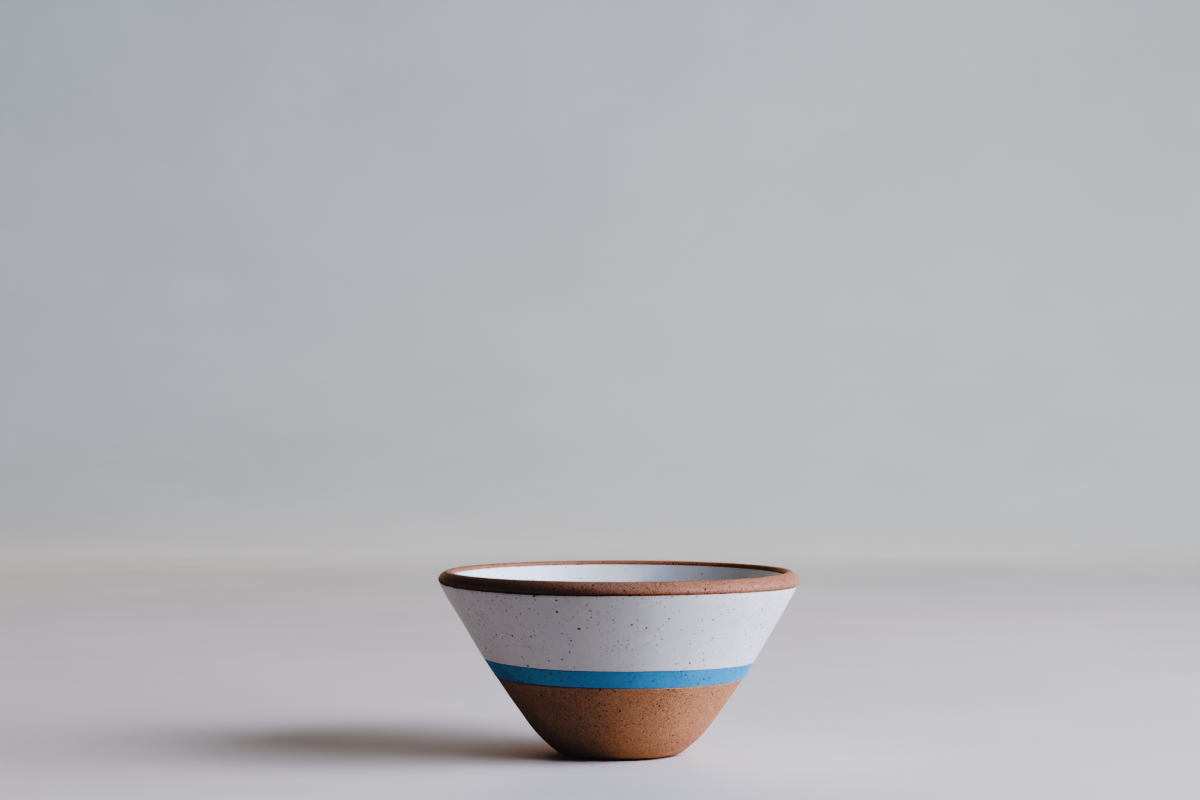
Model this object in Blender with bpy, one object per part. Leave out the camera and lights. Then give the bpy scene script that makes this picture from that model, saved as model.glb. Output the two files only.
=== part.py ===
"""Dessert bowl: a conical stoneware bowl with a bare rounded lip, a white glaze
coat and a blue band outside, a bare clay belly, and a white liner glaze inside.

Every piece is a turned solid about +Z. Origin: centre of the foot, on the
surface that the bowl stands on. Units: metres.
"""

import math

import bmesh
import bpy

MM = 0.001

# ---------------------------------------------------------------- dimensions
STEPS = 64                 # facets round the axis, the same on every piece

# Outer wall: a long shallow arc from the lip down, then a tighter belly arc
WALL_TOP_R = 65.70 * MM    # wall radius at WALL_TOP_Z
WALL_TOP_Z = 62.60 * MM
WALL_TOP_ANGLE = math.radians(60.9)   # steepness of the wall under the lip
WALL_ARC = 503.0 * MM      # radius of the long wall arc
BELLY_ANGLE = math.radians(54.0)      # steepness where the belly arc begins
BELLY_ARC = 44.2 * MM      # radius of the belly arc

# Lip: half round in section, a little wider to the inside
LIP_CENTRE_R = 63.00 * MM
LIP_CENTRE_Z = 63.95 * MM
LIP_OUT = 3.00 * MM        # half width to the outside, so the bowl is 132 mm wide
LIP_IN = 4.20 * MM         # half width to the inside
LIP_UP = 3.25 * MM         # crown above the lip's centre, so it is 67.2 mm high

# Glaze lines on the outside, as heights
LIP_LINE_Z = 62.55 * MM    # lower edge of the lip, where the white glaze begins
BLUE_TOP_Z = 34.95 * MM    # white meets blue
BLUE_LOW_Z = 28.70 * MM    # blue meets the bare clay

# Foot
FOOT_FILLET = 0.90 * MM    # rounding between the belly and the flat foot
FOOT_INNER_R = 15.50 * MM  # inner edge of the flat foot ring
RECESS_R = 13.60 * MM      # where the shallow turned recess becomes flat
RECESS_Z = 1.00 * MM       # depth of the recess under the foot

# Inside
INNER_TOP_R = 59.55 * MM   # inner glaze surface at the lip
INNER_TOP_Z = 65.80 * MM
INNER_FLOOR_Z = 6.60 * MM  # height of the flat inner floor
INNER_TOP_ANGLE = math.radians(61.8)
INNER_BELLY_ANGLE = math.radians(54.5)
INNER_BELLY_ARC = 24.0 * MM
# the long inner wall arc takes up the height that the belly arc leaves
INNER_ARC = (
    INNER_TOP_Z - INNER_FLOOR_Z - INNER_BELLY_ARC * (1.0 - math.cos(INNER_BELLY_ANGLE))
) / (math.cos(INNER_BELLY_ANGLE) - math.cos(INNER_TOP_ANGLE))

# Coats
COAT = 0.50 * MM           # thickness of each glaze coat
GAP = 0.30 * MM            # clearance between a coat and its seat


# ------------------------------------------------------------------ profiles
class Wall:
    """Two tangent arcs in the r-z plane, read by height or by steepness."""

    def __init__(self, top_r, top_z, top_angle, arc, belly_angle, belly_arc):
        self.top = (top_r, top_z, top_angle, arc)
        r, z = self._arc(self.top, belly_angle)
        self.belly = (r, z, belly_angle, belly_arc)

    @staticmethod
    def _arc(start, angle):
        r0, z0, a0, radius = start
        return (
            r0 - radius * (math.sin(a0) - math.sin(angle)),
            z0 - radius * (math.cos(angle) - math.cos(a0)),
        )

    def angle_at(self, z):
        """Steepness of the wall at a height."""
        r0, z0, a0, radius = self.top if z > self.belly[1] else self.belly
        return math.acos(min(1.0, math.cos(a0) + (z0 - z) / radius))

    def by_angle(self, angle, depth=0.0):
        """Point of the wall with this steepness, sunk by depth."""
        r, z = self._arc(self.top if angle > self.belly[2] else self.belly, angle)
        return (r - depth * math.sin(angle), z + depth * math.cos(angle))

    def by_height(self, z, depth=0.0):
        return self.by_angle(self.angle_at(z), depth)

    def run(self, z_from, z_to, count, depth=0.0):
        """count + 1 points between two heights, sunk by depth. The sunk points
        lie at the same heights as the face's, so its edges are level."""
        points = []
        for i in range(count + 1):
            z = z_from + (z_to - z_from) * i / count
            face = z
            for _ in range(8):
                face = z - depth * math.cos(self.angle_at(face))
            points.append(self.by_height(face, depth))
        return points


outer = Wall(WALL_TOP_R, WALL_TOP_Z, WALL_TOP_ANGLE, WALL_ARC, BELLY_ANGLE, BELLY_ARC)
inner = Wall(
    INNER_TOP_R, INNER_TOP_Z, INNER_TOP_ANGLE, INNER_ARC, INNER_BELLY_ANGLE, INNER_BELLY_ARC
)
FLOOR_R, FLOOR_Z = inner.by_angle(0.0)   # edge and height of the flat inner floor


def inner_side(depth, count_wall, count_belly, top_drop=0.0):
    """Inner surface from its lip line down to the floor's edge. A positive
    depth sinks it into the clay, and top_drop starts it lower."""
    start = inner.angle_at(INNER_TOP_Z - top_drop)
    points = []
    for i in range(count_wall):
        a = start + (INNER_BELLY_ANGLE - start) * i / count_wall
        points.append(a)
    for i in range(count_belly + 1):
        points.append(INNER_BELLY_ANGLE * (1.0 - i / count_belly))
    # the inside's normal points to the axis, so sinking it moves it outwards
    return [inner.by_angle(a, -depth) for a in points]


def lip(count_out, count_in):
    """The bare lip from its inner glaze line, over the crown, to its outer
    lower edge."""
    inner_edge = math.asin((INNER_TOP_Z - LIP_CENTRE_Z) / LIP_UP)
    outer_edge = math.asin((LIP_LINE_Z - LIP_CENTRE_Z) / LIP_UP)
    points = []
    for i in range(count_in):
        t = inner_edge + (math.pi / 2 - inner_edge) * i / count_in
        points.append(
            (LIP_CENTRE_R - LIP_IN * math.cos(t), LIP_CENTRE_Z + LIP_UP * math.sin(t))
        )
    for i in range(count_out + 1):
        t = math.pi / 2 + (outer_edge - math.pi / 2) * i / count_out
        points.append(
            (LIP_CENTRE_R + LIP_OUT * math.cos(t), LIP_CENTRE_Z + LIP_UP * math.sin(t))
        )
    return points


def foot():
    """From the fillet that ends the belly, over the flat foot ring and the
    shallow recess, to the axis."""
    # The fillet touches the flat foot at z = 0 and the belly arc from inside:
    # its centre lies FOOT_FILLET above the foot, and the belly arc's radius
    # less FOOT_FILLET away from that arc's centre.
    r0, z0, a0, radius = outer.belly
    centre = (r0 - radius * math.sin(a0), z0 + radius * math.cos(a0))
    rise = centre[1] - FOOT_FILLET
    reach = math.sqrt((radius - FOOT_FILLET) ** 2 - rise**2)
    touch = math.acos(rise / (radius - FOOT_FILLET))
    middle = (centre[0] + reach, FOOT_FILLET)
    points = []
    for i in range(4):
        a = touch * (1.0 - i / 3)
        points.append(
            (
                middle[0] + FOOT_FILLET * math.sin(a),
                middle[1] - FOOT_FILLET * math.cos(a),
            )
        )
    points += [(FOOT_INNER_R, 0.0), (RECESS_R, RECESS_Z), (0.0, RECESS_Z)]
    return touch, points


def clay_profile():
    seat = COAT + GAP
    touch, foot_points = foot()
    # floor centre, up the seat of the liner, over the lip
    points = [(0.0, FLOOR_Z - seat)]
    points += inner_side(seat, 7, 6)[::-1]
    points += lip(6, 5)
    # under the lip into the seat of the outer coats, and down it
    points += outer.run(LIP_LINE_Z, BLUE_TOP_Z, 6, seat)
    points += outer.run(BLUE_TOP_Z, BLUE_LOW_Z, 2, seat)[1:]
    # out to the bare clay, and down the belly to the foot
    low = outer.angle_at(BLUE_LOW_Z)
    points += [outer.by_angle(low + (BELLY_ANGLE - low) * i / 4) for i in range(4)]
    points += [outer.by_angle(BELLY_ANGLE + (touch - BELLY_ANGLE) * i / 5) for i in range(5)]
    return points + foot_points, False


def liner_profile():
    points = [(0.0, FLOOR_Z)]
    points += inner_side(0.0, 7, 6, GAP)[::-1]
    points += inner_side(COAT, 7, 6, GAP)
    return points + [(0.0, FLOOR_Z - COAT)], False


def band_profile(z_top, z_low, count):
    """A coat on the outer wall between two lines, clear of its neighbours."""
    face = outer.run(z_top, z_low, count)
    back = outer.run(z_top, z_low, count, COAT)
    return face + back[::-1], True


# ------------------------------------------------------------------- objects
def clear_scene():
    for ob in list(bpy.data.objects):
        bpy.data.objects.remove(ob, do_unlink=True)


def finish_material(name, colour, roughness):
    material = bpy.data.materials.new(name)
    material.use_nodes = True
    shader = material.node_tree.nodes["Principled BSDF"]
    shader.inputs["Base Color"].default_value = (*colour, 1.0)
    shader.inputs["Roughness"].default_value = roughness
    shader.inputs["Metallic"].default_value = 0.0
    return material


def turned(name, profile, material, parent):
    """Spins an r-z profile about +Z into one closed solid."""
    points, closed = profile
    bm = bmesh.new()
    verts = [bm.verts.new((r, 0.0, z)) for r, z in points]
    edges = [bm.edges.new(pair) for pair in zip(verts, verts[1:])]
    if closed:
        edges.append(bm.edges.new((verts[-1], verts[0])))
    bmesh.ops.spin(
        bm,
        geom=verts + edges,
        cent=(0.0, 0.0, 0.0),
        axis=(0.0, 0.0, 1.0),
        angle=2.0 * math.pi,
        steps=STEPS,
        use_merge=True,
        use_duplicate=False,
    )
    bmesh.ops.remove_doubles(bm, verts=bm.verts, dist=1e-6)
    bmesh.ops.recalc_face_normals(bm, faces=bm.faces)
    mesh = bpy.data.meshes.new(name)
    bm.to_mesh(mesh)
    bm.free()
    mesh.shade_smooth()
    mesh.set_sharp_from_angle(angle=math.radians(35.0))
    mesh.materials.append(material)
    ob = bpy.data.objects.new(name, mesh)
    bpy.context.scene.collection.objects.link(ob)
    ob.parent = parent
    return ob


def main():
    clear_scene()
    bowl = bpy.data.objects.new("dessert_bowl", None)
    bpy.context.scene.collection.objects.link(bowl)

    clay = finish_material("bare_stoneware", (0.37, 0.165, 0.095), 0.72)
    white = finish_material("white_glaze", (0.74, 0.74, 0.73), 0.34)
    liner = finish_material("white_liner_glaze", (0.78, 0.79, 0.79), 0.30)
    blue = finish_material("blue_glaze", (0.035, 0.27, 0.52), 0.42)

    turned("clay_body", clay_profile(), clay, bowl)
    turned("outer_white_glaze", band_profile(LIP_LINE_Z - GAP, BLUE_TOP_Z + GAP * 0.5, 6), white, bowl)
    turned("blue_band", band_profile(BLUE_TOP_Z - GAP * 0.5, BLUE_LOW_Z + GAP, 2), blue, bowl)
    turned("inner_white_glaze", liner_profile(), liner, bowl)


main()
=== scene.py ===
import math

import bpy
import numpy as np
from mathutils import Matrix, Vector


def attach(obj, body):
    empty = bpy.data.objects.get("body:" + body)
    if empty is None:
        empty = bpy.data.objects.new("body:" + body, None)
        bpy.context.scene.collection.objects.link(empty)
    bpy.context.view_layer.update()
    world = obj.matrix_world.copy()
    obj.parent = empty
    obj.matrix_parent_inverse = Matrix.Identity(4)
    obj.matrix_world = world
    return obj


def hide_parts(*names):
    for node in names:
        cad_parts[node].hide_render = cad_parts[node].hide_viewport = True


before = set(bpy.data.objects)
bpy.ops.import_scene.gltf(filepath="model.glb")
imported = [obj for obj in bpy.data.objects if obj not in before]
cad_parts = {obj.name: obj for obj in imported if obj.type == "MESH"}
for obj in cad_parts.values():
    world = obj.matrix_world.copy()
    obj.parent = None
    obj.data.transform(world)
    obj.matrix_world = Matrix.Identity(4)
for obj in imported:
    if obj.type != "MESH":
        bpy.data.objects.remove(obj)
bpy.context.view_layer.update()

# Looks of the dessert bowl: a stoneware body that is bare at its lip and belly,
# a speckled white coat and a blue band outside, and a white liner inside.
# Every piece is a fine turned mesh about +Z, in the CAD's own frame, with the
# small unevenness of hand work. Lengths below are in millimetres.

MM = 0.001
AROUND = 540               # mesh columns round the axis
THETA = np.arange(AROUND) * (2.0 * math.pi / AROUND)

# The CAD's dimensions, repeated
WALL = (65.70, 62.60, math.radians(60.9), 503.0, math.radians(54.0), 44.2)
INNER_TOP_R, INNER_TOP_Z, INNER_FLOOR_Z = 59.55, 65.80, 6.60
INNER_TOP_ANGLE, INNER_BELLY_ANGLE, INNER_BELLY_ARC = math.radians(61.8), math.radians(54.5), 24.0
INNER_ARC = (
    INNER_TOP_Z - INNER_FLOOR_Z - INNER_BELLY_ARC * (1.0 - math.cos(INNER_BELLY_ANGLE))
) / (math.cos(INNER_BELLY_ANGLE) - math.cos(INNER_TOP_ANGLE))
LIP_R, LIP_Z, LIP_OUT, LIP_UP = 63.00, 63.95, 3.00, 3.25
LIP_LINE_Z, BLUE_TOP_Z, BLUE_LOW_Z = 62.55, 34.95, 28.70
FOOT_INNER_R, RECESS_R, RECESS_Z = 15.50, 13.60, 1.00
FOOT_EDGE_Z, FOOT_FLAT_R = 1.10, 18.80    # the foot is cut under: its edge, and its flat ring

SEAT = 0.44                # clay under a coat, below the coat's face
BACK = 0.42                # back of a coat, below its face
BARE = 0.10                # the bare belly lies this far below the coats' face

# The lip as it was pinched by hand: its crown is a soft ridge, its bead sits higher on
# one side, and the mouth is a little off the rim's centre
OUT_EASE, IN_EASE = (1.70, 1.05), (0.42, 1.00)   # powers along and up; 1 and 1 is an ellipse
BEAD_TILT = -0.35          # height of the bead's widest line, as a wave round the bowl
BEAD_DOWN = 2.05           # half height of the bead below that line
MOUTH_WIDE, MOUTH_OFF = 0.95, 0.30    # the mouth is wider than the CAD's, and off centre
BOUNCE = 0.76, 1.06        # strength of the floor's light on the bowl, from close by and from away


class Wall:
    """Two tangent arcs in the r-z plane, read by the length run down from the top."""

    def __init__(self, r, z, angle, arc, belly_angle, belly_arc):
        self.r, self.z, self.angle, self.arc = r, z, angle, arc
        self.belly_angle, self.belly_arc = belly_angle, belly_arc
        self.belly_run = arc * (angle - belly_angle)
        self.belly_r = r - arc * (math.sin(angle) - math.sin(belly_angle))
        self.belly_z = z - arc * (math.cos(belly_angle) - math.cos(angle))

    def slope(self, run):
        run = np.asarray(run, float)
        return np.where(
            run < self.belly_run,
            self.angle - run / self.arc,
            self.belly_angle - (run - self.belly_run) / self.belly_arc,
        )

    def at(self, run, rise=0.0):
        """r and z at a run, lifted off the wall's outer side by rise."""
        a = self.slope(run)
        long = np.asarray(run, float) < self.belly_run
        r = np.where(
            long,
            self.r - self.arc * (math.sin(self.angle) - np.sin(a)),
            self.belly_r - self.belly_arc * (math.sin(self.belly_angle) - np.sin(a)),
        )
        z = np.where(
            long,
            self.z - self.arc * (np.cos(a) - math.cos(self.angle)),
            self.belly_z - self.belly_arc * (np.cos(a) - math.cos(self.belly_angle)),
        )
        return r + rise * np.sin(a), z - rise * np.cos(a)

    def run_at(self, z):
        if z > self.belly_z:
            return self.arc * (self.angle - math.acos(math.cos(self.angle) + (self.z - z) / self.arc))
        a = math.acos(math.cos(self.belly_angle) + (self.belly_z - z) / self.belly_arc)
        return self.belly_run + self.belly_arc * (self.belly_angle - a)


outer = Wall(*WALL)
inner = Wall(INNER_TOP_R, INNER_TOP_Z, INNER_TOP_ANGLE, INNER_ARC, INNER_BELLY_ANGLE, INNER_BELLY_ARC)


def inside_at(run, rise=0.0):
    """The inner wall, let out towards its mouth."""
    r, z = inner.at(run, rise)
    up = np.clip((z - 18.0) / 46.0, 0.0, 1.0)
    return r + up * up * (3.0 - 2.0 * up) * (MOUTH_WIDE + MOUTH_OFF * np.cos(THETA)), z


# ------------------------------------------------------------ hand-made unevenness
def round_noise(seed, low, high, fall=0.6):
    """Noise round the axis, between -1 and 1: a sum of whole waves."""
    rng = np.random.RandomState(seed)
    k = np.arange(low, high + 1)
    size = k ** -fall * rng.uniform(0.4, 1.0, len(k))
    phase = rng.uniform(0.0, 2.0 * math.pi, len(k))
    value = (size[:, None] * np.cos(k[:, None] * THETA + phase[:, None])).sum(0)
    return value / np.abs(value).max()


def nicks(seed, count, deep, wide):
    """Small dips at chance places round the axis, each up to deep, wide in radians."""
    rng = np.random.RandomState(seed)
    value = np.zeros(AROUND)
    for _ in range(count):
        away = (THETA - rng.uniform(0.0, 2.0 * math.pi) + math.pi) % (2.0 * math.pi) - math.pi
        value += deep * rng.uniform(0.3, 1.0) * np.exp(-((away / (wide * rng.uniform(0.6, 1.5))) ** 2))
    return value


def swell(seed, run, short, long, around):
    """Soft unevenness over a surface, between about -1 and 1, from crossing waves."""
    rng = np.random.RandomState(seed)
    value = np.zeros(np.broadcast(run, THETA).shape)
    for _ in range(14):
        wave = rng.uniform(short, long)
        k = rng.randint(0, around)
        value += np.cos(k * THETA + rng.choice((-1, 1)) * 2.0 * math.pi * run / wave + rng.uniform(0, 2 * math.pi))
    return value / 6.0


def settle(x, y, z):
    """The fired bowl stands a little out of true: the lip sits off the foot's axis, and
    the lower half has spread."""
    aside = np.interp(z, (0.0, 30.0, 50.0, 60.0, 67.0), (0.30, 0.28, 0.08, -0.08, -0.25))
    low = np.clip((48.0 - z) / 18.0, 0.0, 1.0)
    out = np.hypot(x, y)
    wide = 1.0 + 0.48 * low * low * (3.0 - 2.0 * low) * np.clip(out / 20.0, 0.0, 1.0) / np.maximum(out, 1.0)
    return x * wide + aside, y * wide, z


# ----------------------------------------------------------------------- meshes
def turned(name, r, z, closed, zones, top_pole=None, end_pole=None):
    """A closed mesh from rows of r and z (rows by columns). A pole is a height on
    the axis that closes the first or the last row. zones cut the baked map: rows of
    faces, strips that the turn is cut into, and the height of each strip."""
    rows = len(r)
    x, y, z = settle(r * np.cos(THETA), r * np.sin(THETA), z)
    points = np.stack([x, y, z], -1).reshape(-1, 3)
    poles = []
    for height in (top_pole, end_pole):
        if height is not None:
            poles.append(len(points))
            points = np.vstack([points, [[0.0, 0.0, height]]])
    top = poles[0] if top_pole is not None else None
    end = poles[-1] if end_pole is not None else None
    length = np.sqrt(np.diff(r, axis=0) ** 2 + np.diff(z, axis=0) ** 2).mean(1)
    if closed:
        length = np.append(length, math.hypot((r[0] - r[-1]).mean(), (z[0] - z[-1]).mean()))
    faces, corners = [], []
    column = np.arange(AROUND)
    beside = (column + 1) % AROUND
    floor_v = 0.004
    for first, last, strips, high in zones:
        wide = AROUND // strips
        strip = column // wide
        u0 = 0.004 + 0.992 * (column - strip * wide) / wide
        u1 = 0.004 + 0.992 * (column - strip * wide + 1) / wide
        base = floor_v + strip * (high + 0.006)
        reach = np.concatenate([[0.0], np.cumsum(length[first:last])])
        head = float(r[0].mean()) if first == 0 and top is not None else 0.0
        tail = float(r[-1].mean()) if last == rows - 1 and end is not None else 0.0
        reach = (reach + head) / (reach[-1] + head + tail)
        if head:
            v1 = base + high * reach[0]
            faces.append(np.stack([np.full(AROUND, top), column, beside], -1))
            corners.append(np.stack([np.stack([(u0 + u1) / 2, base], -1), np.stack([u0, v1], -1), np.stack([u1, v1], -1)], 1))
        for i in range(first, last):
            a, b = i * AROUND, ((i + 1) % rows) * AROUND
            v0, v1 = base + high * reach[i - first], base + high * reach[i - first + 1]
            faces.append(np.stack([a + column, b + column, b + beside, a + beside], -1))
            corners.append(
                np.stack([np.stack([u0, v0], -1), np.stack([u0, v1], -1), np.stack([u1, v1], -1), np.stack([u1, v0], -1)], 1)
            )
        if tail:
            v0 = base + high * reach[-1]
            low = (rows - 1) * AROUND
            faces.append(np.stack([low + column, np.full(AROUND, end), low + beside], -1))
            corners.append(
                np.stack([np.stack([u0, v0], -1), np.stack([(u0 + u1) / 2, base + high], -1), np.stack([u1, v0], -1)], 1)
            )
        floor_v += strips * (high + 0.006)
    sizes = np.concatenate([np.full(len(f), f.shape[1]) for f in faces])
    index = np.concatenate([f.ravel() for f in faces]).astype(np.int32)
    uv = np.concatenate([c.reshape(-1, 2) for c in corners]).astype(np.float32)
    mesh = bpy.data.meshes.new(name)
    mesh.vertices.add(len(points))
    mesh.vertices.foreach_set("co", (points * MM).astype(np.float32).ravel())
    mesh.loops.add(len(index))
    mesh.loops.foreach_set("vertex_index", index)
    mesh.polygons.add(len(sizes))
    mesh.polygons.foreach_set("loop_start", np.concatenate([[0], np.cumsum(sizes)[:-1]]).astype(np.int32))
    layer = mesh.uv_layers.new(name="OFBake")
    layer.data.foreach_set("uv", uv.ravel())
    mesh.update(calc_edges=True)
    mesh.validate()
    mesh.shade_smooth()
    piece = bpy.data.objects.new(name, mesh)
    bpy.context.scene.collection.objects.link(piece)
    return piece


def stack(*blocks):
    """Rows of one value or of a value for each column, one above the other."""
    return np.vstack([np.broadcast_to(np.atleast_2d(b), (np.atleast_2d(b).shape[0], AROUND)) for b in blocks])


def steps(low, high, count, inside=False):
    """count + 1 even steps as a column; inside leaves out both ends."""
    t = np.linspace(0.0, 1.0, count + 1)[:, None]
    t = t[1:-1] if inside else t
    return low + (high - low) * t


def coat_on(wall, side, top, low, face, count, top_edge, low_edge, back=BACK, back_count=10):
    """A coat between two wavy lines, with rounded edges and a back that lies on the
    clay. side is 1 outside and -1 inside, and an edge is (how far it rounds along the
    wall, how far down). face gives the face's rise at rows of run."""
    round_ = np.radians(np.array([90.0, 75.0, 58.0, 40.0, 22.0, 8.0]))[:, None]
    runs, rises = [], []
    reach, drop = top_edge
    run = top + reach * (1.0 - np.sin(round_))
    runs.append(run)
    rises.append(face(top + reach + 0 * run) - drop * (1.0 - np.cos(round_)))
    run = top + reach + (low - low_edge[0] - top - reach) * steps(0.0, 1.0, count)
    runs.append(run)
    rises.append(face(run))
    reach, drop = low_edge
    run = low - reach * (1.0 - np.sin(round_[::-1]))
    runs.append(run)
    rises.append(face(low - reach + 0 * run) - drop * (1.0 - np.cos(round_[::-1])))
    run = low - 0.03 + (top - low + 0.06) * steps(0.0, 1.0, back_count)
    runs.append(run)
    rises.append(-back + 0 * run)
    run, rise = stack(*runs), stack(*rises)
    return wall.at(run, side * rise)


# Lines between the coats, drawn by hand: mean height, tilt, bend and a third wave round the bowl
LIP_LINE = (LIP_LINE_Z + 0.23, -0.47, 0.045, -0.20)
BLUE_LINE = (BLUE_TOP_Z - 0.24, -0.52, 0.04, -0.16)
CLAY_LINE = (BLUE_LOW_Z - 0.35, -0.28, 0.05, 0.0)


def heights(line):
    return line[0] + line[1] * np.cos(THETA) + line[2] * np.cos(2.0 * THETA) + line[3] * np.cos(3.0 * THETA)


def runs_at(z):
    return np.array([outer.run_at(h) for h in z])


# the same lines as runs down the wall, with their small unevenness
lip_line = heights(LIP_LINE)
line_top = runs_at(lip_line - 0.42) + 0.05 + 0.08 * round_noise(3, 3, 40) + nicks(4, 46, 0.24, 0.010)
line_blue = runs_at(heights(BLUE_LINE)) + 0.07 * round_noise(5, 2, 30, 0.8) + 0.03 * round_noise(6, 20, 90, 0.2)
line_clay = runs_at(heights(CLAY_LINE)) + 0.08 * round_noise(7, 2, 30, 0.8) + 0.04 * round_noise(8, 20, 110, 0.2)
line_clay = line_clay - nicks(9, 20, 0.12, 0.012)
line_in = 0.12 + 0.16 * np.cos(THETA) + 0.08 * round_noise(10, 2, 36) + nicks(11, 24, 0.16, 0.012)


def white_face(run):
    edge = -0.26 * np.exp(-np.clip(run - line_top, 0, None) / 1.3) + 0.04 * np.exp(-np.clip(line_blue - run, 0, None) / 0.8)
    return 0.02 + edge + 0.030 * swell(20, run, 7.0, 26.0, 9)


def blue_face(run):
    edge = 0.03 * np.exp(-np.clip(run - line_blue, 0, None) / 0.5) + 0.04 * np.exp(-np.clip(line_clay - run, 0, None) / 0.5)
    return -0.02 + edge + 0.020 * swell(21, run, 4.0, 16.0, 14)


def liner_face(run):
    edge = 0.08 * np.exp(-np.clip(run - line_in, 0, None) / 1.0)
    calm = np.clip((inner.belly_run + 18.0 - run) / 24.0, 0.0, 1.0)
    return 0.01 + edge + 0.040 * calm * swell(22, run, 8.0, 30.0, 8)


def white_coat():
    r, z = coat_on(outer, 1, line_top, line_blue - 0.02, white_face, 84, (0.26, 0.11), (0.22, 0.24))
    face = 12 + 84
    return turned("white_glaze_outside", r, z, True, [(0, face, 3, 0.315), (face, len(r), 1, 0.012)])


def blue_coat():
    r, z = coat_on(outer, 1, line_blue + 0.02, line_clay, blue_face, 30, (0.16, 0.20), (0.26, 0.30), back_count=3)
    face = 12 + 30
    return turned("blue_glaze_band", r, z, True, [(0, face, 6, 0.150), (face, len(r), 1, 0.012)])


def liner():
    """The inside's coat, as far as the flat floor, which closes on the axis."""
    end = inner.belly_run + inner.belly_arc * inner.belly_angle
    round_ = np.radians(np.array([90.0, 74.0, 56.0, 38.0, 20.0, 7.0]))[:, None]
    face_run = line_in + 0.34 + (end - line_in - 0.34) * steps(0.0, 1.0, 104)
    edge_run = line_in + 0.34 * (1.0 - np.sin(round_))
    edge = liner_face(line_in + 0.34 + 0 * edge_run) - 0.36 * (1.0 - np.cos(round_))
    back_run = line_in + 0.05 + (end - line_in - 0.05) * steps(0.0, 1.0, 24)
    run = stack(face_run[::-1], edge_run[::-1], back_run)
    rise = stack(liner_face(face_run[::-1]), edge[::-1], -BACK + 0 * back_run)
    r, z = inside_at(run, -rise)
    floor = [r[0] * t for t in (0.2, 0.4, 0.6, 0.8)]
    under = [r[-1] * t for t in (0.66, 0.33)]
    r = stack(*floor, r, *under)
    z = stack(*[z[0]] * 4, z, *[z[-1]] * 2)
    bottom = 4 + 31
    wall = 4 + 105 + 6
    return turned(
        "white_glaze_inside", r, z, False,
        [(0, bottom, 1, 0.200), (bottom, wall, 2, 0.365), (wall, len(r) - 1, 1, 0.012)],
        float(z[0].mean()), float(z[-1].mean()),
    )


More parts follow.
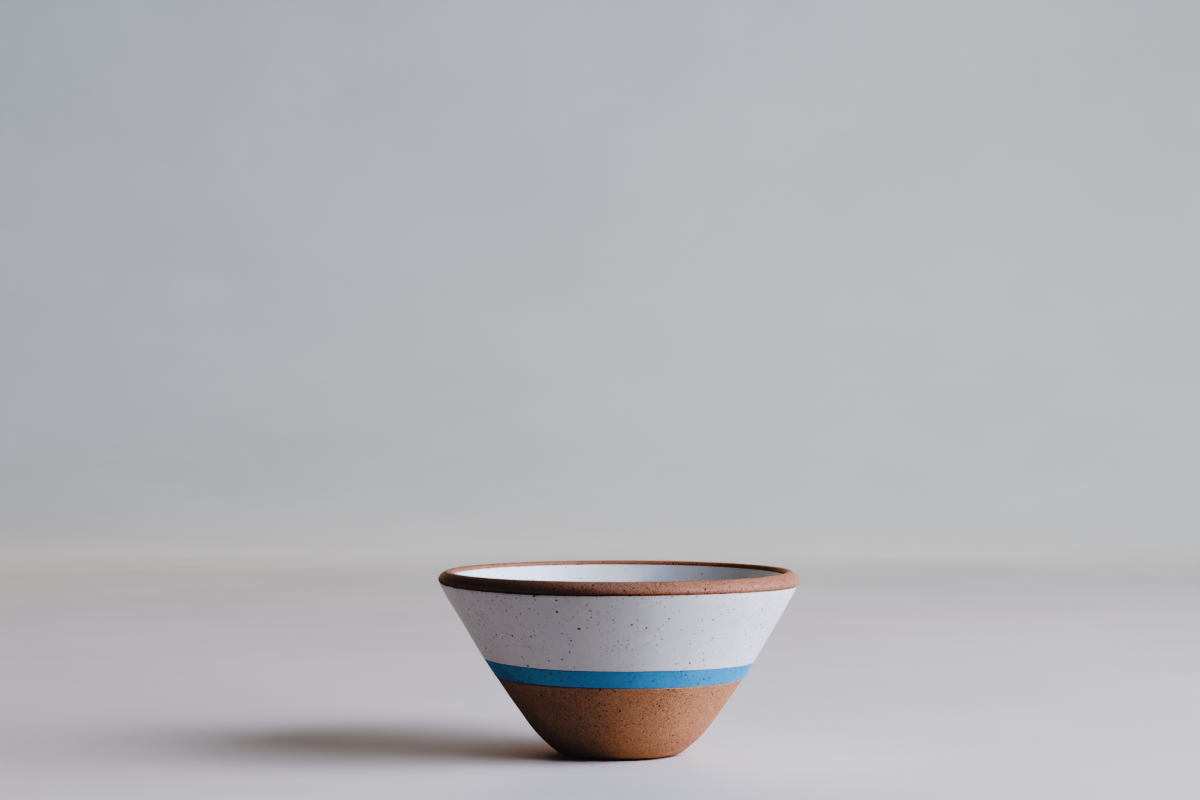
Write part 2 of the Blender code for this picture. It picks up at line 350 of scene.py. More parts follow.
def clay_body():
    """Liner's seat, lip, seat of the outer coats, belly and foot, in one body."""
    end = inner.belly_run + inner.belly_arc * inner.belly_angle
    rs, zs = [], []

    def add(r, z):
        rs.append(np.broadcast_to(np.atleast_2d(r), (np.atleast_2d(r).shape[0], AROUND)))
        zs.append(np.broadcast_to(np.atleast_2d(z), (np.atleast_2d(z).shape[0], AROUND)))

    # seat of the liner, from the flat floor up to the lip
    run = line_in + 0.9 + (end - line_in - 0.9) * steps(0.0, 1.0, 14)
    r, z = inside_at(run[::-1], SEAT + 0 * run)
    add(r[0] * 0.5, z[0])
    add(r, z)
    run = line_in + np.array([[0.55], [0.25]])
    add(*inside_at(run, np.array([[0.40], [0.30]]) + 0 * run))
    seat_rows = sum(len(b) for b in rs)

    # lip: inner side, crown, outer side, bead, and the fillet that turns it under
    uneven = 0.06 * round_noise(30, 2, 14, 0.9)
    bead_z = LIP_Z + BEAD_TILT * np.cos(THETA)
    top_z = LIP_Z + LIP_UP - 0.12 - 0.14 * np.sin(THETA)
    bead_up = top_z - bead_z
    edge_r, edge_z = inside_at(line_in, 0.06)
    # from the inner line up to the crown
    t = math.pi / 2 - math.radians(76.0) * (1.0 - steps(0.0, 1.0, 18)[:-1]) ** 1.5
    along, up = IN_EASE
    in_r = (np.cos(t) / np.cos(t[0])) ** along
    in_z = (np.sin(t) ** up - np.sin(t[0]) ** up) / (1.0 - np.sin(t[0]) ** up)
    soft = swell(31, t * 3.6, 3.0, 9.0, 40) * 0.018 * np.sin(t)
    add(LIP_R - (LIP_R - edge_r) * in_r - soft, edge_z + (top_z - edge_z) * in_z + soft + uneven * 0.5 * np.sin(t))
    # from the crown to the bead's widest line, and under it
    t = steps(math.pi / 2, 0.0, 20)
    along, up = OUT_EASE
    soft = swell(32, t * 3.1, 3.0, 9.0, 40) * 0.018 + uneven * np.cos(t)
    add(LIP_R + (LIP_OUT + soft) * np.cos(t).clip(0) ** along, bead_z + (bead_up + soft) * np.sin(t).clip(0) ** up + uneven * 0.5 * np.sin(t))
    last = np.arcsin((lip_line - bead_z) / BEAD_DOWN)
    t = steps(0.0, last, 8)[1:]
    add(LIP_R + (LIP_OUT + soft[-1]) * np.cos(t), bead_z + BEAD_DOWN * np.sin(t))
    # the fillet starts along the lip's own slope
    slope = np.arctan2(np.sin(last) / BEAD_DOWN, np.cos(last) / LIP_OUT)
    small = 0.42
    low_r, low_z = rs[-1][-1], zs[-1][-1]
    mid_r, mid_z = low_r - small * np.cos(slope), low_z - small * np.sin(slope)
    a = steps(slope, math.radians(-104.0), 7)[1:]
    ragged = 0.05 * round_noise(33, 12, 120, 0.1)
    under = (np.sin(a) / math.sin(math.radians(-104.0))).clip(0, 1) ** 2
    add(mid_r + small * np.cos(a), mid_z + (small + ragged * under) * np.sin(a))
    lip_rows = sum(len(b) for b in rs)

    # seat of the outer coats
    add(*outer.at(line_top - 0.06, -SEAT * 0.9))
    run = line_top + 0.5 + (line_clay - line_top - 1.2) * steps(0.0, 1.0, 6)
    add(*outer.at(run, -SEAT + 0 * run))
    run = line_clay + np.array([[-0.35], [-0.12], [-0.03]])
    add(*outer.at(run, np.array([[-SEAT], [-0.40], [-0.26]]) + 0 * run))
    wall_rows = sum(len(b) for b in rs)

    # bare belly down to the foot's edge
    foot_run = outer.run_at(FOOT_EDGE_Z + 0.34)
    run = line_clay + 0.03 + (foot_run - line_clay - 0.03) * steps(0.0, 1.0, 56)
    near = np.clip((foot_run - run) / 3.0, 0.0, 1.0)
    rings = 0.012 * np.cos(2.0 * math.pi * run / 1.9 + 0.9 * round_noise(34, 1, 3)) * np.cos(2.0 * math.pi * run / 17.0)
    add(*outer.at(run, near * (-BARE + 0.028 * swell(35, run, 5.0, 20.0, 10) + rings)))
    # the rounded edge, the cut under it, and its rounded foot line
    start = [float(v) for v in outer.at(foot_run)]
    edge = [float(v) for v in outer.at(outer.run_at(FOOT_EDGE_Z))]
    fall = math.atan2(FOOT_EDGE_Z, edge[0] - FOOT_FLAT_R)
    way = (math.cos(fall), math.sin(fall))
    uneven = 0.05 * round_noise(37, 2, 24, 0.7)
    for first, corner, last in (
        (start, edge, (edge[0] - 0.5 * way[0], edge[1] - 0.5 * way[1])),
        ((FOOT_FLAT_R + 0.3 * way[0], 0.3 * way[1]), (FOOT_FLAT_R, 0.0), (FOOT_FLAT_R - 0.3, 0.0)),
    ):
        t = steps(0.0, 1.0, 5)[1:] if first is start else steps(0.0, 1.0, 5)
        r, z = [(1 - t) ** 2 * first[i] + 2 * t * (1 - t) * corner[i] + t * t * last[i] for i in (0, 1)]
        add(r + uneven * (t if first is start else 1.0), z + 0.0 * THETA)
    belly_rows = sum(len(b) for b in rs)
    add(steps(FOOT_FLAT_R - 0.3, FOOT_INNER_R + 0.25, 3)[1:], 0.0 * steps(0, 0, 3)[1:])
    t = steps(0.0, 1.0, 8)[1:]
    ease = t * t * (3.0 - 2.0 * t)
    add(FOOT_INNER_R + 0.25 + (RECESS_R - 0.25 - FOOT_INNER_R - 0.25) * t, RECESS_Z * ease)
    run = steps(RECESS_R - 0.25, 0.6, 22)[1:]
    add(run, RECESS_Z + 0.030 * np.cos(2.0 * math.pi * run / 2.2 + 0.5 * round_noise(36, 1, 4)) * (run / RECESS_R))
    r, z = np.vstack(rs), np.vstack(zs)
    return turned(
        "stoneware_body", r, z, False,
        [
            (0, seat_rows, 1, 0.010),
            (seat_rows, lip_rows - 1, 3, 0.072),
            (lip_rows - 1, wall_rows, 1, 0.010),
            (wall_rows, belly_rows - 1, 2, 0.268),
            (belly_rows - 1, len(r) - 1, 1, 0.150),
        ],
        float(z[0].mean()), RECESS_Z,
    )


# -------------------------------------------------------------------- materials
class Nodes:
    """Short names for a material's nodes. Patterns are read in millimetres."""

    def __init__(self, name):
        self.material = bpy.data.materials.new(name)
        self.material.use_nodes = True
        self.tree = self.material.node_tree
        self.shader = self.tree.nodes["Principled BSDF"]
        place = self.tree.nodes.new("ShaderNodeTexCoord")
        big = self.tree.nodes.new("ShaderNodeVectorMath")
        big.operation = "SCALE"
        big.inputs["Scale"].default_value = 1000.0
        self.tree.links.new(place.outputs["Object"], big.inputs[0])
        self.mm = big.outputs[0]

    def put(self, socket, value):
        if hasattr(value, "is_output"):
            self.tree.links.new(value, socket)
        elif isinstance(value, (tuple, list)) and len(value) == 3 and socket.type == "RGBA":
            socket.default_value = (*value, 1.0)
        else:
            socket.default_value = value

    def math(self, op, a, b=0.0, c=0.0, clamp=False):
        n = self.tree.nodes.new("ShaderNodeMath")
        n.operation, n.use_clamp = op, clamp
        for s, v in zip(n.inputs, (a, b, c)):
            self.put(s, v)
        return n.outputs[0]

    def vector(self, op, a, b):
        n = self.tree.nodes.new("ShaderNodeVectorMath")
        n.operation = op
        self.put(n.inputs[0], a)
        self.put(n.inputs["Scale"] if op == "SCALE" else n.inputs[1], b)
        return n.outputs[0]

    def noise(self, size, detail=2.0, rough=0.5, where=None, move=(0.0, 0.0, 0.0), colour=False):
        """Soft noise whose patches are about size millimetres."""
        n = self.tree.nodes.new("ShaderNodeTexNoise")
        n.inputs["Scale"].default_value = 1.0 / size
        n.inputs["Detail"].default_value = detail
        n.inputs["Roughness"].default_value = rough
        self.put(n.inputs["Vector"], self.vector("ADD", where or self.mm, move))
        return n.outputs["Color" if colour else "Fac"]

    def cells(self, size, where=None, move=(0.0, 0.0, 0.0)):
        """Distance to the nearest of scattered points about size apart, in
        millimetres, and three chance numbers of that point."""
        n = self.tree.nodes.new("ShaderNodeTexVoronoi")
        n.inputs["Scale"].default_value = 1.0 / size
        n.inputs["Randomness"].default_value = 1.0
        self.put(n.inputs["Vector"], self.vector("ADD", where or self.mm, move))
        s = self.tree.nodes.new("ShaderNodeSeparateColor")
        self.tree.links.new(n.outputs["Color"], s.inputs[0])
        return self.math("MULTIPLY", n.outputs["Distance"], size), s.outputs[0], s.outputs[1], s.outputs[2]

    def span(self, value, low, high, to_low=0.0, to_high=1.0, smooth=True):
        n = self.tree.nodes.new("ShaderNodeMapRange")
        n.interpolation_type = "SMOOTHSTEP" if smooth else "LINEAR"
        n.clamp = True
        for s, v in zip(n.inputs, (value, low, high, to_low, to_high)):
            self.put(s, v)
        return n.outputs[0]

    def mix(self, share, a, b, blend="MIX"):
        n = self.tree.nodes.new("ShaderNodeMix")
        n.data_type, n.blend_type = "RGBA", blend
        self.put(n.inputs[0], share)
        self.put(n.inputs[6], a)
        self.put(n.inputs[7], b)
        return n.outputs[2]

    def specks(self, size, radius, soft, where, move, keep, vary=0.55):
        """A mask of specks: scattered points size apart, radius big, with edges soft
        wide. keep is the share of points that show. Gives the mask and a chance
        number for each speck."""
        away, chance_a, chance_b, chance_c = self.cells(size, where, move)
        own = self.math("MULTIPLY_ADD", chance_a, radius * 2.0 * vary, radius * (1.0 - vary))
        mask = self.math("MULTIPLY_ADD", self.math("SUBTRACT", own, away), 1.0 / soft, 0.5, clamp=True)
        shown = self.math("LESS_THAN", chance_b, keep)
        return self.math("MULTIPLY", mask, shown), chance_c

    def ragged(self, size, amount):
        """Coordinates shaken by fine noise, so that specks aren't round."""
        shake = self.vector("SUBTRACT", self.noise(size, 2.0, colour=True), (0.5, 0.5, 0.5))
        return self.vector("ADD", self.mm, self.vector("SCALE", shake, amount))

    def height(self):
        s = self.tree.nodes.new("ShaderNodeSeparateXYZ")
        self.tree.links.new(self.mm, s.inputs[0])
        return s.outputs[2]

    def radius(self):
        """Distance from the bowl's axis, in millimetres."""
        s = self.tree.nodes.new("ShaderNodeSeparateXYZ")
        self.tree.links.new(self.mm, s.inputs[0])
        x, y, _ = s.outputs
        return self.math("SQRT", self.math("ADD", self.math("MULTIPLY", x, x), self.math("MULTIPLY", y, y)))

    def across(self):
        """Place from the bowl's left to its right, in millimetres."""
        s = self.tree.nodes.new("ShaderNodeSeparateXYZ")
        self.tree.links.new(self.mm, s.inputs[0])
        return s.outputs[0]

    def behind(self):
        """Place from the front to the back, in millimetres."""
        s = self.tree.nodes.new("ShaderNodeSeparateXYZ")
        self.tree.links.new(self.mm, s.inputs[0])
        return s.outputs[1]

    def over_line(self, line):
        """Height above one of the lines between the coats, in millimetres."""
        s = self.tree.nodes.new("ShaderNodeSeparateXYZ")
        self.tree.links.new(self.mm, s.inputs[0])
        x, y, z = s.outputs
        out = self.math("SQRT", self.math("ADD", self.math("MULTIPLY", x, x), self.math("MULTIPLY", y, y)))
        c = self.math("DIVIDE", x, out)
        at = self.math("MULTIPLY_ADD", c, 4.0 * line[3], 2.0 * line[2])
        at = self.math("MULTIPLY_ADD", c, at, line[1] - 3.0 * line[3])
        at = self.math("MULTIPLY_ADD", c, at, line[0] - line[2])
        return self.math("SUBTRACT", z, at)

    def bump(self, value, deep, strength=1.0, over=None):
        """Fine relief: value 0 to 1 is deep millimetres high."""
        n = self.tree.nodes.new("ShaderNodeBump")
        n.inputs["Strength"].default_value = strength
        n.inputs["Distance"].default_value = deep * MM
        self.tree.links.new(value, n.inputs["Height"])
        if over is not None:
            self.tree.links.new(over, n.inputs["Normal"])
        return n.outputs[0]

    def finish(self, colour, roughness, normal, ior=1.5):
        self.put(self.shader.inputs["Base Color"], colour)
        self.put(self.shader.inputs["Roughness"], roughness)
        self.put(self.shader.inputs["Normal"], normal)
        self.shader.inputs["IOR"].default_value = ior
        self.shader.inputs["Metallic"].default_value = 0.0
        return self.material


def white_material():
    n = Nodes("speckled_white_glaze")
    where = n.ragged(0.7, 0.35)
    crowd = n.noise(15.0, 1.0, move=(3.0, 7.0, 1.0))
    some = n.span(crowd, 0.32, 0.66, 0.35, 0.95)
    # iron specks that break through, smaller ones, pin dots, and some that stay under
    dark, dark_tint = n.specks(2.60, 0.285, 0.25, where, (11.3, 4.1, 9.7), some)
    small, small_tint = n.specks(1.70, 0.25, 0.24, where, (31.0, 2.0, 8.0), some)
    pin, _ = n.specks(0.95, 0.11, 0.09, where, (5.0, 41.0, 3.0), 0.5)
    under, under_tint = n.specks(1.90, 0.35, 0.45, where, (1.7, 23.0, 5.9), some)
    rust, _ = n.specks(4.2, 0.42, 0.40, where, (17.0, 9.0, 2.0), 0.5)
    rust = n.math("MULTIPLY", rust, n.span(n.over_line(LIP_LINE), -4.5, -2.0))
    veil = n.span(n.noise(9.0, 2.0, 0.55), 0.30, 0.72)
    cloud = n.span(n.noise(2.3, 3.0, 0.6, move=(5.0, 0.0, 2.0)), 0.30, 0.75)
    colour = n.mix(veil, (0.712, 0.692, 0.700), (0.744, 0.727, 0.737))
    colour = n.mix(n.math("MULTIPLY", cloud, 0.30), colour, (0.670, 0.636, 0.624))
    # painted light colour: a creamier white on the left, where the warm fills fall, and a cooler one on the right,
    # where the cool main light falls
    tint = n.mix(n.span(n.across(), -12.0, 26.0), (1.0, 0.985, 0.950), (0.930, 0.950, 0.995))
    colour = n.mix(1.0, colour, tint, "MULTIPLY")
    # thin glaze at the coat's edges lets the clay and the blue through; the brown band under the lip is partly thin
    # glaze and partly painted shade under the bead
    z = n.over_line(LIP_LINE)
    # painted shade in part: this band darkens the white just under the lip's bead
    edge = n.span(z, -1.55, -0.55)
    edge = n.math("MULTIPLY", edge, n.span(n.noise(1.1, 2.0, 0.6), 0.34, 0.70, 0.15, 1.0))
    colour = n.mix(n.math("MULTIPLY", edge, 0.50), colour, (0.52, 0.41, 0.36))
    low = n.span(n.over_line(BLUE_LINE), 0.60, 0.12)
    colour = n.mix(n.math("MULTIPLY", low, 0.40), colour, (0.40, 0.45, 0.52))
    colour = n.mix(n.math("MULTIPLY", under, 0.30), colour, n.mix(under_tint, (0.46, 0.41, 0.42), (0.56, 0.42, 0.34)))
    colour = n.mix(n.math("MULTIPLY", pin, 0.40), colour, (0.30, 0.24, 0.22))
    colour = n.mix(n.math("MULTIPLY", small, 0.60), colour, n.mix(small_tint, (0.22, 0.17, 0.16), (0.36, 0.22, 0.15)))
    colour = n.mix(n.math("MULTIPLY", dark, 0.84), colour, n.mix(dark_tint, (0.090, 0.066, 0.060), (0.230, 0.130, 0.082)))
    colour = n.mix(n.math("MULTIPLY", rust, 0.75), colour, (0.260, 0.125, 0.065))
    iron = n.math("MAXIMUM", dark, n.math("MULTIPLY", small, 0.6))
    rough = n.math("MULTIPLY_ADD", cloud, 0.10, 0.36)
    rough = n.math("MULTIPLY_ADD", iron, 0.18, rough)
    peel = n.noise(0.75, 2.0, 0.5, move=(0.0, 9.0, 0.0))
    normal = n.bump(peel, 0.014)
    normal = n.bump(n.math("SUBTRACT", 1.0, iron), 0.040, over=normal)
    return n.finish(colour, rough, normal)


def liner_material():
    n = Nodes("white_liner_glaze_fine")
    where = n.ragged(0.7, 0.35)
    crowd = n.noise(18.0, 1.0, move=(13.0, 2.0, 6.0))
    some = n.span(crowd, 0.3, 0.7, 0.10, 0.60)
    dark, dark_tint = n.specks(2.9, 0.22, 0.18, where, (3.0, 14.0, 7.7), some)
    small, small_tint = n.specks(2.0, 0.17, 0.16, where, (9.0, 6.0, 17.0), some)
    under, _ = n.specks(2.5, 0.36, 0.45, where, (8.7, 3.0, 15.9), some)
    veil = n.span(n.noise(12.0, 2.0, 0.5), 0.30, 0.72)
    cloud = n.span(n.noise(2.8, 3.0, 0.6, move=(5.0, 4.0, 2.0)), 0.30, 0.75)
    colour = n.mix(veil, (0.632, 0.668, 0.742), (0.665, 0.703, 0.780))
    colour = n.mix(n.math("MULTIPLY", cloud, 0.16), colour, (0.530, 0.560, 0.625))
    # painted light: lighter and warmer on its right, where the inside wall is in shade and lit by the warm fills
    colour = n.mix(n.span(n.across(), 20.0, 54.0), colour, n.mix(1.0, colour, (1.12, 1.05, 0.95), "MULTIPLY"))
    edge = n.span(n.height(), 64.90, 65.75)
    edge = n.math("MULTIPLY", edge, n.span(n.noise(1.2, 2.0, 0.6), 0.34, 0.70, 0.15, 1.0))
    colour = n.mix(n.math("MULTIPLY", edge, 0.45), colour, (0.50, 0.40, 0.35))
    colour = n.mix(n.math("MULTIPLY", under, 0.24), colour, (0.44, 0.42, 0.43))
    colour = n.mix(n.math("MULTIPLY", small, 0.50), colour, n.mix(small_tint, (0.22, 0.19, 0.19), (0.32, 0.24, 0.20)))
    colour = n.mix(n.math("MULTIPLY", dark, 0.72), colour, n.mix(dark_tint, (0.100, 0.080, 0.075), (0.220, 0.140, 0.100)))
    rough = n.math("MULTIPLY_ADD", cloud, 0.10, 0.46)
    normal = n.bump(n.noise(0.9, 2.0, 0.5), 0.010)
    normal = n.bump(n.math("SUBTRACT", 1.0, dark), 0.035, over=normal)
    return n.finish(colour, rough, normal)


def blue_material():
    n = Nodes("speckled_blue_glaze")
    where = n.ragged(0.6, 0.32)
    dark, dark_tint = n.specks(2.0, 0.26, 0.18, where, (6.0, 1.0, 19.0), 0.70)
    small, small_tint = n.specks(1.10, 0.19, 0.16, where, (2.0, 12.0, 3.0), 0.75)
    pin, _ = n.specks(0.80, 0.10, 0.08, where, (4.0, 4.0, 21.0), 0.55)
    veil = n.span(n.noise(6.0, 2.0, 0.55), 0.30, 0.72)
    cloud = n.span(n.noise(1.1, 3.0, 0.62, move=(7.0, 4.0, 2.0)), 0.28, 0.76)
    colour = n.mix(veil, (0.138, 0.356, 0.545), (0.164, 0.398, 0.592))
    colour = n.mix(n.math("MULTIPLY", cloud, 0.40), colour, (0.250, 0.485, 0.680))
    # painted shade: deeper and darker on its left, the side turned away from the main light
    colour = n.mix(n.span(n.across(), 10.5, -9.0), colour, n.mix(1.0, colour, (0.25, 0.672, 0.85), "MULTIPLY"))
    # painted highlight: paler on its right, which faces the main light
    colour = n.mix(n.span(n.across(), 14.0, 36.0), colour, n.mix(1.0, colour, (1.02, 1.07, 1.04), "MULTIPLY"))
    edge = n.math("MAXIMUM", n.span(n.over_line(CLAY_LINE), 0.75, 0.20), n.span(n.over_line(BLUE_LINE), -0.55, -0.05))
    edge = n.math("MULTIPLY", edge, n.span(n.noise(0.9, 2.0, 0.6), 0.30, 0.72, 0.3, 1.0))
    colour = n.mix(n.math("MULTIPLY", edge, 0.45), colour, (0.034, 0.130, 0.250))
    colour = n.mix(n.math("MULTIPLY", pin, 0.40), colour, (0.020, 0.110, 0.230))
    colour = n.mix(n.math("MULTIPLY", small, 0.58), colour, n.mix(small_tint, (0.020, 0.090, 0.190), (0.034, 0.130, 0.270)))
    colour = n.mix(n.math("MULTIPLY", dark, 0.80), colour, n.mix(dark_tint, (0.012, 0.036, 0.075), (0.020, 0.080, 0.160)))
    rough = n.math("MULTIPLY_ADD", cloud, 0.10, 0.44)
    normal = n.bump(n.noise(0.6, 2.0, 0.55), 0.014)
    normal = n.bump(n.math("SUBTRACT", 1.0, dark), 0.035, over=normal)
    return n.finish(colour, rough, normal)


def clay_material():
    n = Nodes("bare_speckled_stoneware")
    where = n.ragged(0.5, 0.30)
    lip = n.span(n.height(), 58.0, 60.0)
    # sandy body: warm patches, coarse and fine sand, open pits, pale grog, iron specks;
    # the grain is stronger on the bowl's right
    grainy = n.span(n.across(), 20.0, -18.0, 1.25, 0.82)

    def share(mask, amount):
        return n.math("MULTIPLY", mask, n.math("MULTIPLY", grainy, amount), clamp=True)

    patch = n.span(n.noise(12.0, 3.0, 0.55), 0.28, 0.74)
    warm = n.span(n.noise(7.0, 2.0, 0.5, move=(21.0, 3.0, 4.0)), 0.34, 0.70)
    sand = n.span(n.noise(0.80, 2.0, 0.60, move=(1.0, 5.0, 9.0)), 0.30, 0.70)
    fine = n.span(n.noise(0.42, 2.0, 0.6, move=(8.0, 5.0, 2.0)), 0.28, 0.74)
    open_ = n.span(n.noise(0.66, 1.0, 0.5, where, (2.0, 9.0, 31.0)), 0.405, 0.325)
    colour = n.mix(patch, (0.480, 0.265, 0.176), (0.554, 0.319, 0.217))
    colour = n.mix(n.math("MULTIPLY", warm, 0.35), colour, (0.518, 0.253, 0.168))
    colour = n.mix(share(sand, 0.42), colour, (0.710, 0.462, 0.326))
    colour = n.mix(share(fine, 0.38), colour, (0.330, 0.165, 0.110))
    grog, _ = n.specks(0.86, 0.17, 0.12, where, (4.0, 17.0, 3.0), 0.50)
    tiny, tiny_tint = n.specks(0.70, 0.15, 0.11, where, (14.0, 7.0, 3.0), 0.60)
    dark, dark_tint = n.specks(1.75, 0.24, 0.15, where, (5.0, 5.0, 13.0), 0.60)
    colour = n.mix(share(grog, 0.34), colour, (0.690, 0.485, 0.360))
    colour = n.mix(share(open_, 0.40), colour, (0.160, 0.070, 0.044))
    colour = n.mix(share(tiny, 0.54), colour, n.mix(tiny_tint, (0.100, 0.048, 0.032), (0.200, 0.088, 0.052)))
    colour = n.mix(share(dark, 0.80), colour, n.mix(dark_tint, (0.040, 0.026, 0.022), (0.105, 0.050, 0.032)))
    # the wiped lip is a little darker; where it meets a glaze it is flashed redder and darker, partly real flashing and
    # partly painted shade under the bead and along the inner line
    inner_edge = n.math("MULTIPLY", n.span(n.height(), 66.10, 65.85), n.span(n.radius(), 62.0, 61.4))
    flash_and_shade = n.math("MAXIMUM", n.span(n.over_line(LIP_LINE), 0.75, 0.05), inner_edge)
    # painted shade: the dark edge fades out towards the lit right
    flash_and_shade = n.math("MULTIPLY", flash_and_shade, n.math("MULTIPLY", lip, n.span(n.across(), 34.0, -8.0, 0.12, 1.0)))
    colour = n.mix(n.math("MULTIPLY", flash_and_shade, 0.55), colour, n.mix(inner_edge, (0.200, 0.078, 0.045), (0.225, 0.120, 0.092)))
    colour = n.mix(n.math("MULTIPLY", lip, 1.0), colour, n.mix(1.0, colour, (0.765, 0.770, 0.880), "MULTIPLY"))
    # painted shade colour: on its left, the side turned away from the main light, the bare clay is less red and bluer
    outside = n.math("MAXIMUM", n.span(n.radius(), 61.8, 63.4), n.span(n.height(), 60.0, 58.0))
    left = n.math("MULTIPLY", n.span(n.across(), 17.0, -16.0), outside)
    colour = n.mix(left, colour, n.mix(1.0, colour, (0.865, 1.07, 1.25), "MULTIPLY"))
    rough = n.math("MULTIPLY_ADD", sand, 0.12, n.math("MULTIPLY_ADD", lip, -0.12, 0.68))
    grain = n.math("MULTIPLY_ADD", fine, 0.45, sand)
    normal = n.bump(grain, 0.045)
    pits = n.math("SUBTRACT", 1.0, n.math("MAXIMUM", dark, n.math("MAXIMUM", open_, n.math("MULTIPLY", tiny, 0.7))))
    normal = n.bump(pits, 0.070, over=normal)
    return n.finish(colour, rough, normal, 1.32)


def floor_material(name, low, high, glow=None):
    n = Nodes(name)
    tone = n.span(n.noise(140.0, 3.0, 0.55), 0.3, 0.7)
    grain = n.noise(1.6, 3.0, 0.6)
    colour = n.mix(tone, low, high)
    # painted shade: a little darker where it nears the main light, evening out that light's pool on the floor
    shade_near_key = n.math("MULTIPLY", n.span(n.across(), 100.0, 440.0, 1.0, 0.92), n.span(n.across(), 380.0, 1500.0, 1.0, 0.45))
    colour = n.vector("SCALE", colour, shade_near_key)
    # close to the bowl it lends less light than it shows
    seen = n.tree.nodes.new("ShaderNodeLightPath")
    lent = n.vector("SCALE", colour, n.span(n.radius(), 40.0, 125.0, *BOUNCE))
    colour = n.mix(seen.outputs["Is Diffuse Ray"], colour, lent)
    rough = n.math("MULTIPLY_ADD", grain, 0.1, 0.62)
    if glow:
        # painted light: behind the bowl the backdrop glows by its own emission, evenly and a little more on its right
        backdrop_glow = n.math("MULTIPLY", n.span(n.behind(), 900.0, 1470.0), n.span(n.across(), -560.0, 330.0, *glow, False))
        n.put(n.shader.inputs["Emission Color"], (0.96, 1.0, 0.97))
        n.put(n.shader.inputs["Emission Strength"], backdrop_glow)
    return n.finish(colour, rough, n.bump(grain, 0.03))


# ------------------------------------------------------------------------ pieces
body = clay_body()
white = white_coat()
blue = blue_coat()
inside = liner()
for piece, node, slot, material in (
    (body, "clay_body", "bare_stoneware", clay_material()),
    (white, "outer_white_glaze", "white_glaze", white_material()),
    (blue, "blue_band", "blue_glaze", blue_material()),
    (inside, "inner_white_glaze", "white_liner_glaze", liner_material()),
):
    piece.data.materials.append(material)
    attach(piece, "root")
    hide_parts(node)


# ------------------------------------------------------------------------- stage
def stage_sheet(name, rows, material):
    """A sheet of rings round the origin; each row is (radius, height) by angle."""
    around = rows[0][0].shape[0]
    turn = np.arange(around) * 2.0 * math.pi / around
    points = np.concatenate([np.stack([r * np.cos(turn), r * np.sin(turn), z], -1) for r, z in rows])
    column = np.arange(around)
    beside = (column + 1) % around
    faces = []
    for i in range(len(rows) - 1):
        a, b = i * around, (i + 1) * around
        faces += np.stack([a + column, b + column, b + beside, a + beside], -1).tolist()
    mesh = bpy.data.meshes.new(name)
    mesh.from_pydata(points.tolist(), [], faces)
    mesh.shade_smooth()
    mesh.materials.append(material)
    ob = bpy.data.objects.new(name, mesh)
    bpy.context.scene.collection.objects.link(ob)
    return ob


def stage():
    """A pale floor that sweeps up behind the bowl and to its left. Its far part is only
    seen, and lends the bowl no light."""
    around = 240
    turn = np.arange(around) * 2.0 * math.pi / around
    flat = np.zeros(around)
    edge = np.minimum(0.80, 0.155 / np.maximum(-np.sin(turn), 1e-3))
    edge = np.where(np.sin(turn) < 0.0, edge, 0.80)
    near = floor_material("pale_floor", (0.660, 0.650, 0.725), (0.692, 0.682, 0.762))
    stage_sheet("floor_near", [(flat + 1e-4, flat), (edge * 0.5, flat), (edge, flat)], near)
    away = np.abs((turn - math.radians(128.0) + math.pi) % (2.0 * math.pi) - math.pi)
    rise = np.clip((math.radians(104.0) - away) / math.radians(32.0), 0.0, 1.0)
    rise = rise * rise * (3.0 - 2.0 * rise)
    rows = [(edge, flat), (edge + (1.25 - edge) * 0.5, flat), (flat + 1.25, flat)]
    for a in np.radians(np.arange(5, 91, 5)):
        rows.append((1.25 + 0.75 * math.sin(a) + flat, 0.75 * (1.0 - math.cos(a)) * rise))
    rows.append((2.0 + 3.0 * (1.0 - rise), 0.75 * rise + 1.6 * rise))
    far = stage_sheet("floor_far", rows, floor_material("pale_backdrop", (0.640, 0.664, 0.722), (0.672, 0.698, 0.758), (0.036, 0.084)))
    far.visible_diffuse = far.visible_glossy = far.visible_shadow = False


stage()


def area_light(name, where, aim, size, power, colour):
    data = bpy.data.lights.new(name, "AREA")
    data.shape, data.energy, data.color = "RECTANGLE", power, colour
    data.size, data.size_y = size
    ob = bpy.data.objects.new(name, data)
    bpy.context.scene.collection.objects.link(ob)
    ob.location = where
    ob.rotation_euler = (Vector(aim) - Vector(where)).to_track_quat("-Z", "Y").to_euler()
    ob.visible_camera = False
    return ob


def from_angles(turn, rise, far):
    """A place that far away, turned from the front to the right, and that high."""
    t, e = math.radians(turn), math.radians(rise)
    return (far * math.sin(t) * math.cos(e), -far * math.cos(t) * math.cos(e), far * math.sin(e))


# one broad soft light from the right, nothing in front, and weak warm fills from behind
# and from the left
DAY, WARM = (0.94, 0.98, 1.02), (1.0, 0.89, 0.785)
area_light("key", from_angles(69.4, 26.0, 1.7), (0.0, 0.0, 0.02), (1.35, 1.10), 20.9, DAY)
area_light("key_side", from_angles(92.0, 16.0, 1.7), (0.0, 0.0, 0.03), (1.2, 0.9), 4.6, DAY)
area_light("back_fill", from_angles(180.0, 42.0, 3.4), (0.0, 0.0, 0.03), (2.4, 1.8), 5.2, WARM)
area_light("low_back_fill", from_angles(-172.0, 10.0, 3.4), (0.0, 0.0, 0.03), (3.2, 0.9), 10.5, WARM)
area_light("top_fill", from_angles(-60.0, 76.0, 3.4), (0.0, 0.0, 0.03), (2.4, 1.8), 3.2, (1.0, 0.88, 0.72))
area_light("left_back_fill", from_angles(-140.0, 10.0, 3.4), (0.0, 0.0, 0.03), (3.2, 0.9), 2.4, WARM)
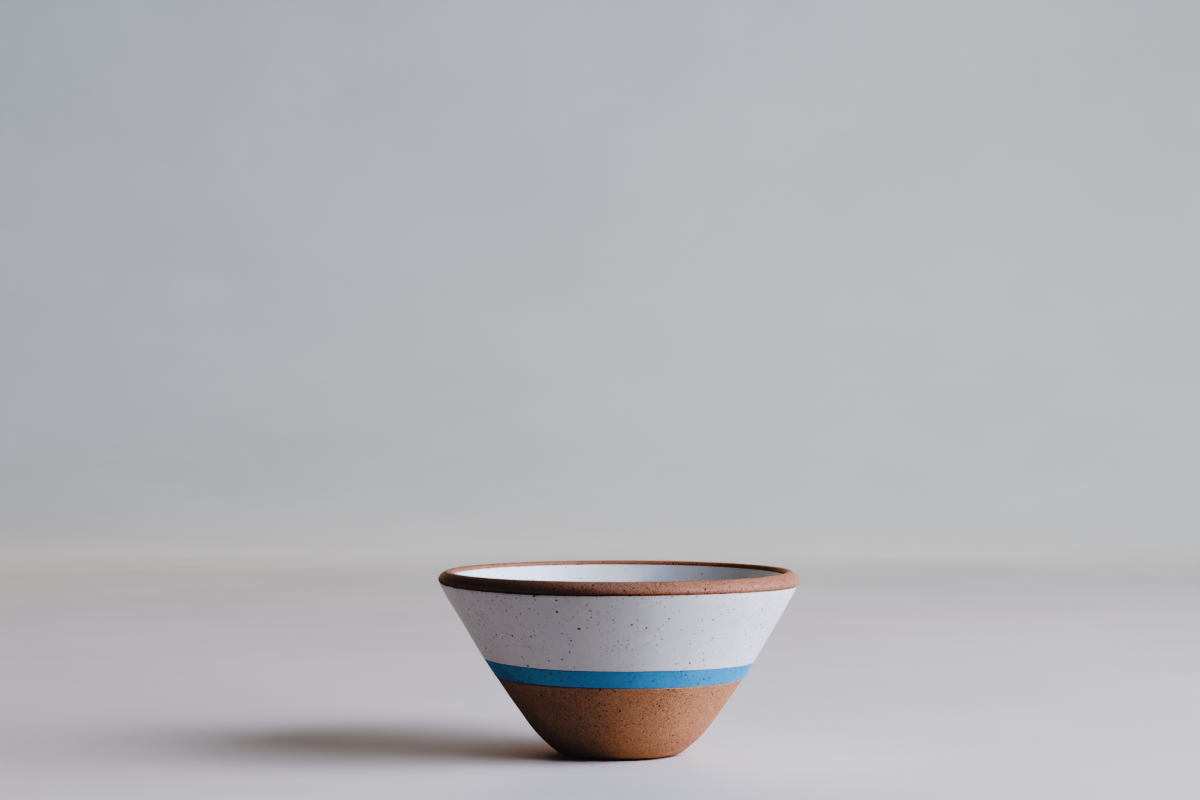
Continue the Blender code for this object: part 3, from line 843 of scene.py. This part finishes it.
area_light("left_fill", from_angles(-77.0, 10.0, 3.4), (0.0, 0.0, 0.03), (3.2, 0.9), 5.4, WARM)

# almost no light from all round; pale only where the camera looks past the floor
world = bpy.data.worlds.new("studio")
world.use_nodes = True
tree = world.node_tree
seen = tree.nodes.new("ShaderNodeLightPath")
share = tree.nodes.new("ShaderNodeMix")
share.data_type = "RGBA"
share.inputs[6].default_value = (0.010, 0.010, 0.011, 1.0)
share.inputs[7].default_value = (0.42, 0.44, 0.46, 1.0)
tree.links.new(seen.outputs["Is Camera Ray"], share.inputs[0])
tree.links.new(share.outputs[2], tree.nodes["Background"].inputs["Color"])
bpy.context.scene.world = world

camera_data = bpy.data.cameras.new("camera")
camera_data.lens, camera_data.sensor_width = 96.0, 36.0
camera = bpy.data.objects.new("camera", camera_data)
bpy.context.scene.collection.objects.link(camera)
camera.location = (0.0, -1.1702, 0.1428)
camera.rotation_euler = (math.radians(90.0 - 0.65), 0.0, math.radians(0.347))
bpy.context.scene.camera = camera

# a photographic tone: deep shadows and soft highlights, with the hue kept
view = bpy.context.scene.view_settings
view.view_transform = "Standard"
view.look = "None"
bpy.context.scene.use_nodes = True
tree = bpy.context.scene.node_tree
tree.nodes.clear()
layers = tree.nodes.new("CompositorNodeRLayers")
tone = tree.nodes.new("CompositorNodeCurveRGB")
shown = tree.nodes.new("CompositorNodeComposite")
tree.links.new(layers.outputs["Image"], tone.inputs["Image"])
tree.links.new(tone.outputs["Image"], shown.inputs["Image"])
tone.mapping.tone = "FILMLIKE"
tone.mapping.extend = "EXTRAPOLATED"
curve = tone.mapping.curves[3]
curve.points[0].location = (0.0, 0.0016)
curve.points[1].location = (1.0, 1.10)
for x, y in ((0.015, 0.0032), (0.03, 0.0062), (0.045, 0.0125), (0.06, 0.031), (0.08, 0.088), (0.10, 0.162), (0.16, 0.315), (0.25, 0.510), (0.40, 0.660), (0.60, 0.830), (0.80, 0.975)):
    curve.points.new(x, y)
for point in curve.points:
    point.handle_type = "AUTO_CLAMPED"
tone.mapping.update()
